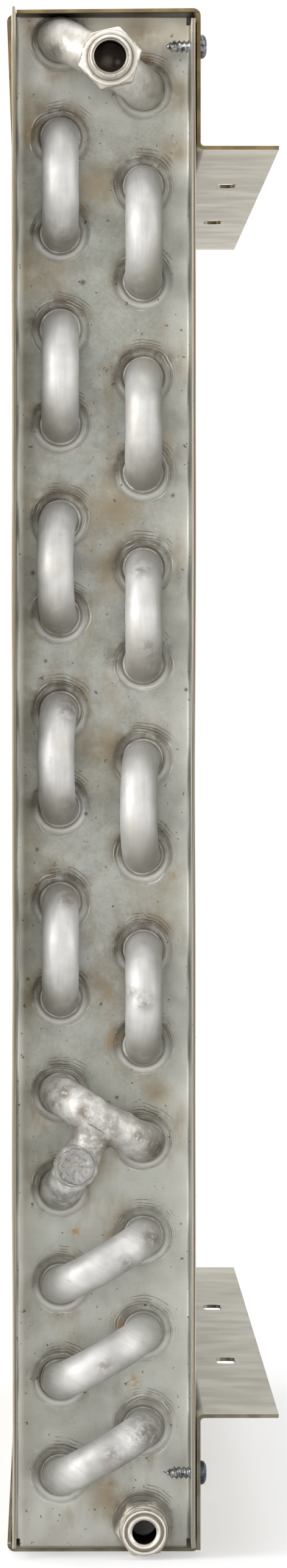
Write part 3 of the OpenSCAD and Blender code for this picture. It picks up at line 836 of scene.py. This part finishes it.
def make_plate(name, node, mirror):
    """An end plate: a web with dished collars and two flanges that face away from the coil."""
    half = PLATE_HALF - FOLD_IN - SHEET
    low, high = SHEET, FRAME_TOP - SHEET
    fold_low, fold_high = low + FOLD_IN + SHEET, high - FOLD_IN - SHEET
    edge_z = spread(fold_low, fold_high, FLANGE_STEPS)
    flat, triangles, rims = web_triangles(web_points(half, low, high, edge_z))

    def on_fold(i):
        x, z = flat[i]
        return abs(abs(x) - half) < NEAR_ENOUGH and fold_low - NEAR_ENOUGH < z < fold_high + NEAR_ENOUGH

    front = [Vector((p.x, PLATE_Y + collar_depth(nearest_tube(p.x, p.y)), p.y)) for p in flat]
    back = [p + Vector((0, SHEET, 0)) for p in front]
    size = len(front)
    faces = triangles + [tuple(i + size for i in reversed(t)) for t in triangles]
    faces += [(b, a, a + size, b + size) for a, b in rims if not (on_fold(a) and on_fold(b))]
    mesh = Mesh()
    mesh.add(front + back, faces)
    add_flange(mesh, 1, edge_z, fold_high)
    add_flange(mesh, -1, edge_z, FRAME_TOP)
    if mirror:
        mesh.points = [Vector((p.x, -p.y, p.z)) for p in mesh.points]
    mesh.build(name, PLATE, "plate_sheet", [node], smooth_angle=50, weld=0.01)


def flange_section(side):
    """The fold and flange seen from above, as a line down the outer face and back up the inner."""
    centre = Vector((PLATE_HALF - FOLD_IN - SHEET, PLATE_Y - FOLD_IN))
    steps, soft = 6, 0.2
    angles = [math.pi / 2 * (1 - k / steps) for k in range(steps + 1)]

    def face(x, fold_r):
        fold = [centre + Vector((math.cos(a), math.sin(a))) * fold_r for a in angles]
        down = [Vector((x, PLATE_Y - k)) for k in (8, 16, 23)]
        return fold + down + [Vector((x, FLANGE_Y + soft))]

    outer_x, inner_x = PLATE_HALF, PLATE_HALF - SHEET
    tip = [Vector((outer_x - soft, FLANGE_Y)), Vector((inner_x + soft, FLANGE_Y))]
    line = face(outer_x, FOLD_IN + SHEET) + tip + face(inner_x, FOLD_IN)[::-1]
    return [Vector((side * p.x, p.y)) for p in line]


def add_flange(mesh, side, edge_z, top):
    """One flange of an end plate, with a slight wave along its free edge."""
    rows = []
    for z in edge_z:
        row = []
        for p in flange_section(side):
            reach = max(0, (PLATE_Y - 3 - p.y) / 22)
            wave = 0.22 * reach * noise.noise(Vector((side * 3.1, 0.7, z / 60)))
            row.append(Vector((p.x + wave, p.y, z)))
        rows.append(row)
    if top > edge_z[-1] + 0.5:
        edge_y = PLATE_Y - FOLD_IN - SHEET
        rows.append([Vector((p.x, min(p.y, edge_y), top)) for p in rows[-1]])
    mesh.sheet(rows, close_columns=False)


FIN_PITCH = 2.54
FIN_T = 0.16
FIN_COLUMNS = 22
FIN_LEVELS = 16


def fin_rows(low, high, n):
    """One fin: rippled across its width, with its two long edges bent a little."""
    centre = low.y + 0.25 + n * FIN_PITCH
    rows = []
    for z in spread(low.z, high.z, FIN_LEVELS):
        front, back = [], []
        for share in spread(0, 1, FIN_COLUMNS):
            x = low.x + (high.x - low.x) * share
            ripple = 0.28 * math.sin(share * math.pi * 11)
            edge = max(0, abs(share - 0.5) * 2 - 0.86) / 0.14
            bent = 0.75 * edge * noise.noise(Vector((n * 0.83, z / 23, 2 * round(share))))
            y = min(max(centre + ripple + bent, low.y + FIN_T), high.y - FIN_T)
            front.append(Vector((x, y - FIN_T / 2, z)))
            back.append(Vector((x, y + FIN_T / 2, z)))
        rows.append(front + back[::-1])
    return rows


def make_fins():
    """The fins as thin rippled sheets, in two pieces because of their number."""
    low, high = box_mm("fin_pack")
    count = round((high.y - low.y) / FIN_PITCH) + 1
    halves = [Mesh(), Mesh()]
    for n in range(count):
        halves[n * 2 // count].sheet(fin_rows(low, high, n))
    for name, mesh in zip(("near_fins", "far_fins"), halves):
        mesh.build(name, FINS, "fins", ["fin_pack"], smooth_angle=50)


# The threads of both fittings
FITTING_LEAD = 0.9
FITTING_DEPTH = 0.42
FITTING_SIDES = 96
THREAD_STEP = 0.125


def hexagon(flats, angle):
    """Distance from the axis to a hexagon's side in the direction angle."""
    return flats / 2 / math.cos(angle % (math.pi / 3) - math.pi / 6)


def thread(crest, depth, lead, distance, angle):
    """Radius of a fine right-hand thread."""
    phase = (distance / lead - angle / (2 * math.pi)) % 1
    return crest - depth * abs(2 * phase - 1)


def make_fitting(end, axis, outline, flats, hex_angle):
    """A turned piece about an axis along Y. outline holds (kind, radius, distance in front of Y = 0)."""
    def point(level, angle):
        kind, r, distance = level
        if kind == "hex":
            r = min(r, hexagon(flats, angle - hex_angle))
        elif kind == "thread":
            r = thread(r, FITTING_DEPTH, FITTING_LEAD, distance, angle)
        return Vector((axis[0] + r * math.cos(angle), -distance, axis[1] + r * math.sin(angle)))

    mesh = Mesh()
    mesh.grid(rings(outline, FITTING_SIDES, point), close_rows=True)
    mesh.build(f"{end}_hex_fitting", FITTING, "fitting", [f"{end}_fitting"], smooth_angle=32)


def round_outline(origin, *steps):
    """Plain turned steps, each given as (radius, distance in front of the origin)."""
    return [("round", radius, origin + ahead) for radius, ahead in steps]


def hex_outline(flats, back, front, face_r):
    """The hexagon with its corners turned off at both ends."""
    corner = flats / 2 / math.cos(math.pi / 6)
    rise, steps = 1.3, 5
    slope = list(zip(spread(face_r, corner + 0.1, steps), spread(0, rise, steps)))
    out = [("hex", radius, back + along) for radius, along in slope]
    out += [("hex", corner + 1, back + rise + 0.05), ("hex", corner + 1, front - rise - 0.05)]
    out += [("hex", radius, front - along) for radius, along in slope[::-1]]
    return out


def thread_outline(radius, back, front):
    return [("thread", radius, at) for at in spread(back, front, int((front - back) / THREAD_STEP))]


INLET_FLATS = 15
INLET_BACK = 258
INLET_TURN = math.radians(13.6)
INLET_TUBE_R = 5.4


def make_inlet():
    """The crossover at the top and the hex fitting on its crown."""
    plain = tube_radius(INLET_TUBE_R, 0.3, 4, 31, squash=0.2)

    def radius(i, out, centre):
        # braze has built up on the upper side of the left end
        share = max(0, min(1, (-4 - centre.x) / 6))
        return plain(i, out, centre) + share * max(0, out.z * 0.85 - out.x * 0.5)

    path = u_path(right_tube(1), left_tube(1), SEAT_Y, BEND_Y, steps=28)
    make_pipe("inlet_tee", "inlet_crossover", CROSSOVER, path, radius, slot="brazed_tube")
    front = -box_mm("inlet_fitting")[0].y
    outline = round_outline(front, (0.02, -11.5)) + round_outline(INLET_BACK, (0.02, 0), (5.2, 0))
    outline += round_outline(front, (5.2, -13.2), (6, -12.75))
    outline += hex_outline(INLET_FLATS, front - 12.5, front - 5.6, 7.15)
    outline += round_outline(front, (6.6, -5.55), (5.3, -5.4), (5.2, -4.9))
    outline += thread_outline(5.7, front - 4.8, front - 0.75)
    outline += round_outline(front, (5.35, -0.45), (5.15, -0.1), (5, 0), (4.75, 0), (4.6, -0.12),
                             (4.5, -0.5), (4.3, -0.65), (4.15, -0.9), (4.15, -11.5))
    make_fitting("inlet", INLET_AXIS, outline, INLET_FLATS, INLET_TURN)


OUTLET_FLATS = 13.2
OUTLET_BACK = 252
OUTLET_TURN = math.radians(4.8)


def make_outlet():
    """The straight stub at the lowest tube and its hex fitting."""
    path = [Vector((OUTLET_AXIS[0], y, OUTLET_AXIS[1])) for y in (SEAT_Y, -242, -246, -251, -255.5)]
    make_pipe("outlet_tube", "outlet_stub", TUBE, path, tube_radius(TUBE_R, 0.12, 5, 40))
    front = -box_mm("outlet_fitting")[0].y
    outline = round_outline(OUTLET_BACK, (3.2, -7.5), (3.85, -7.5), (3.85, 3.9), (4.8, 3.6), (4.8, 0),
                            (5.9, 0))
    outline += hex_outline(OUTLET_FLATS, OUTLET_BACK + 0.05, front - 7, 6.35)
    outline += round_outline(front, (6.2, -6.95), (5.6, -6.8), (5.55, -6.3))
    outline += thread_outline(6.15, front - 6.2, front - 0.9)
    outline += round_outline(front, (5.95, -0.6), (5.75, -0.15), (5.6, 0), (5.35, 0), (5.15, -0.2),
                             (4.95, -1.1), (4.35, -1.1), (4.3, -0.15), (4.15, 0), (3.85, 0), (3.6, -0.15),
                             (3.2, -0.6))
    make_fitting("outlet", OUTLET_AXIS, outline, OUTLET_FLATS, OUTLET_TURN)


ELBOW_R = 5.15
ELBOW_BEND_R = 10.8
NECK_R = 4.6
PORT_R = 4.85
JOINT_SIDES = 48
# The port's swellings, as (distance behind the cap's face, extra radius)
PORT_SWELLINGS = [(0.9, 0), (1.4, 0.1), (2, 0.35), (2.6, 0.7), (3.4, 0.95), (4.4, 1.05), (6, 0.9)]


def make_three_way():
    """The lumpy brazed joint between the columns."""
    path = u_path(right_tube(JOINT_ROW), left_tube(JOINT_ROW), SEAT_Y, BEND_Y, steps=36)
    make_pipe("three_way_joint", "three_way_tube", JOINT, path,
              tube_radius(THREE_WAY_R, 0.5, 3.2, 51, squash=0.15), JOINT_SIDES, "brazed_tube")


def branch_path():
    """Out of the tube below the joint, round a quarter circle and up into the joint's middle."""
    start, along = BRANCH_START, BRANCH_ALONG
    path = [start + Vector((0, SEAT_Y - 5 * k / 4, 0)) for k in range(4)]
    bend_centre = start + Vector((0, BEND_Y, 0)) + along * ELBOW_BEND_R
    neck_steps = 14
    for angle in spread(0, math.pi / 2, 16):
        path.append(bend_centre - along * ELBOW_BEND_R * math.cos(angle)
                    + Vector((0, -ELBOW_BEND_R * math.sin(angle), 0)))
    top = path[-1]
    for k in range(1, neck_steps + 1):
        path.append(top + along * (BRANCH_REACH - ELBOW_BEND_R - 2.5) * k / neck_steps)
    return path


def make_branch():
    """The elbow that narrows to a neck and flares into the joint, and the port in front of it."""
    rough = tube_radius(0, 0.55, 3, 61)
    port_rough = tube_radius(0, 0.5, 2.6, 63)

    def radius(i, out, centre):
        done = max(0, (centre - BRANCH_START).dot(BRANCH_ALONG) - ELBOW_BEND_R)
        narrow = min(1, done / 2.5)
        flare = max(0, min(1, (done - 3.2) / 5))
        size = ELBOW_R + (NECK_R - ELBOW_R) * narrow + 2.2 * flare * flare
        return size + rough(i, out, centre + out * size)

    def port_radius(i, out, centre):
        size = PORT_R + PORT_SWELLINGS[i][1]
        return size + port_rough(i, out, centre + out * size)

    mesh = Mesh()
    add_pipe(mesh, branch_path(), radius, 1, sides=JOINT_SIDES)
    port_path = [Vector((PORT_AT.x, CAP_Y + behind, PORT_AT.z)) for behind, _ in PORT_SWELLINGS]
    add_pipe(mesh, port_path, port_radius, sides=JOINT_SIDES)
    mesh.build("branch_tube", JOINT, "brazed_tube", ["branch_elbow"])


def make_plug():
    """The lumpy filler that closes the port."""
    outline = [(0, 0.55), (1.6, 0.5), (2.8, 0.35), (3.6, 0.15), (4.3, 0), (4.75, 0.12),
               (4.9, 0.45), (4.85, 0.9), (4, 0.95), (4, 1.8), (0, 1.8)]

    def point(level, angle):
        r, behind = level
        p = Vector((PORT_AT.x + r * math.cos(angle), CAP_Y + behind, PORT_AT.z + r * math.sin(angle)))
        lump = 0.75 * noise.noise(p / 1.7) if behind < 0.6 else 0
        return p + Vector((0, abs(lump), 0))

    mesh = Mesh()
    mesh.grid(rings(outline, JOINT_SIDES, point))
    mesh.build("branch_plug", CAP, "brazed_tube", ["branch_cap"])


def make_braze_rings():
    """Thin uneven fillets of filler where the bends enter their collars."""
    mesh = Mesh()
    for n, (x, z) in enumerate(TUBES):

        def point(section_angle, angle):
            across, up = math.cos(angle), math.sin(angle)
            size = 0.42 + 0.22 * noise.noise(Vector((across * 1.3, up * 1.3, n * 4.7)))
            r = 5.05 + size * math.cos(section_angle)
            y = SEAT_Y + 0.35 - size * 1.1 * math.sin(section_angle)
            return Vector((x + r * across, y, z + r * up))

        mesh.grid(rings(turn(8), 40, point), close_rows=True)
    mesh.build("braze_rings", JOINT, "brazed_tube", smooth_angle=80)


SCREW_SIDES = 32
SCREW_R = 1.7
HEAD_R = 3.2
HEAD_T = 1.8
FACE_R = HEAD_R - 1.4


def screw_rows(outline, tip, y, z):
    """Rings along a screw. outline holds (radius, distance from the tip), with no radius on the thread."""
    def point(level, angle):
        r, along = level
        if r is None:
            r = thread(SCREW_R, 0.62, 1.27, along, angle) * min(1, 0.35 + along / 3)
        return Vector((tip + along, y + r * math.cos(angle), z + r * math.sin(angle)))

    return rings(outline, SCREW_SIDES, point)


def make_screws():
    """Pan-head screws with a real thread, through the channels' right legs."""
    low, high = box_mm("bracket_screws")
    length = high.x - HEAD_T - low.x
    outline = [(0, 0), (0.35, 0.15)]
    outline += [(None, along) for along in spread(0.5, length, int((length - 0.6) / 0.12))]
    outline += [(HEAD_R, length + 0.01), (HEAD_R + 0.02, length + 0.5), (HEAD_R - 0.15, length + 1),
                (HEAD_R - 0.7, length + 1.45), (FACE_R, length + 1.7)]
    mesh = Mesh()
    for y in (low.y + HEAD_R, high.y - HEAD_R):
        for z in (low.z + HEAD_R, high.z - HEAD_R):
            mesh.grid(screw_rows(outline, low.x, y, z))
            add_screw_face(mesh, low.x + length, y, z)
    mesh.build("frame_screws", SCREW, "screw", ["bracket_screws"], smooth_angle=45)


def add_screw_face(mesh, x, y, z):
    """The middle of a screw's head, with a cross recess sunk into it."""
    half_slot, reach = 0.36, 1.6

    def point(share, angle):
        r = FACE_R * (1 - share)
        u, v = r * math.cos(angle), r * math.sin(angle)
        narrow, wide = sorted((abs(u), abs(v)))
        out = 1.7 + 0.1 * (1 - (r / FACE_R) ** 2)
        if narrow < half_slot and wide < reach:
            out -= 0.9 * (1 - r / reach / 1.2)
        return Vector((x + out, y + u, z + v))

    mesh.grid(rings(spread(0, 1, 14), SCREW_SIDES, point))


def dress_channels():
    """The channels keep their CAD meshes and get their material."""
    for node in ("top_channel", "bottom_channel"):
        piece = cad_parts[node]
        if not piece.data.materials:
            piece.data.materials.append(CHANNEL)
        for slot in piece.material_slots:
            slot.material = CHANNEL


FLOOR_HALF_M = 30


def make_floor():
    """A pale floor that keeps the shadow near the object and turns to plain white further out."""
    g = Surface("floor")
    g.set(g.shader.inputs["Base Color"], (0.96, 0.96, 0.96))
    g.shader.inputs["Roughness"].default_value = 0.9
    g.shader.inputs["Specular IOR Level"].default_value = 0.1
    beside = g.most(g.minus(g.amount(g.x), PLATE_HALF), 0)
    beyond = g.most(g.minus(g.off_middle, -FLANGE_Y), 0)
    far = g.step(g.distance(beside, beyond), 5, 90, 0.4, 1)
    white = g.add("ShaderNodeEmission").outputs[0]
    mixer = g.add("ShaderNodeMixShader",
                  {0: g.times(far, g.seen_directly()), 1: g.shader.outputs[0], 2: white})
    g.set(g.output.inputs[0], mixer.outputs[0])
    data = bpy.data.meshes.new("floor")
    corners = [(x * FLOOR_HALF_M, y * FLOOR_HALF_M, 0) for x, y in ((-1, -1), (1, -1), (1, 1), (-1, 1))]
    data.from_pydata(corners, [], [(0, 1, 2, 3)])
    data.materials.append(g.material)
    floor = new_object("floor", data)


def make_world():
    """A white backdrop for the camera and for reflections, and soft even light for the rest."""
    world = bpy.data.worlds.new("studio")
    world.use_nodes = True
    bpy.context.scene.world = world
    g = Graph(world.node_tree)
    strength = g.step(g.seen_directly(), 0, 1, 0.72, 1)
    background = g.add("ShaderNodeBackground", {"Color": (1, 1, 1), "Strength": strength})
    g.add("ShaderNodeOutputWorld", {0: background.outputs[0]})


def add_light(name, place, aim, size, watts):
    """A soft rectangular lamp. Places and sizes are in metres."""
    data = bpy.data.lights.new(name, "AREA")
    data.shape = "RECTANGLE"
    data.size, data.size_y = size
    data.energy = watts
    point_at(new_object(name, data), Vector(place), Vector(aim))


def make_lights():
    add_light("front", (-0.6, -2.5, 0.7), (0, -0.2, 0.2), (1.5, 1.3), 5.5)
    add_light("key", (-1.9, -1.4, 0.7), (0, -0.1, 0.2), (1.5, 2), 45)
    add_light("fill", (2, -1.1, 0.6), (0, 0, 0.2), (1.2, 1.8), 15)
    add_light("top", (0.1, 0.1, 2.2), (0, 0, 0.1), (2, 2), 14)
    add_light("rear", (-1.4, 1.6, 0.9), (0, 0, 0.2), (1.2, 1.2), 10)


make_camera()
make_return_bends()
make_hairpins()
make_plate("near_plate", "near_end_plate", mirror=False)
make_plate("far_plate", "far_end_plate", mirror=True)
make_fins()
make_inlet()
make_outlet()
make_three_way()
make_branch()
make_plug()
make_braze_rings()
make_screws()
dress_channels()
make_floor()
make_world()
make_lights()
bpy.context.scene.view_settings.view_transform = "Standard"
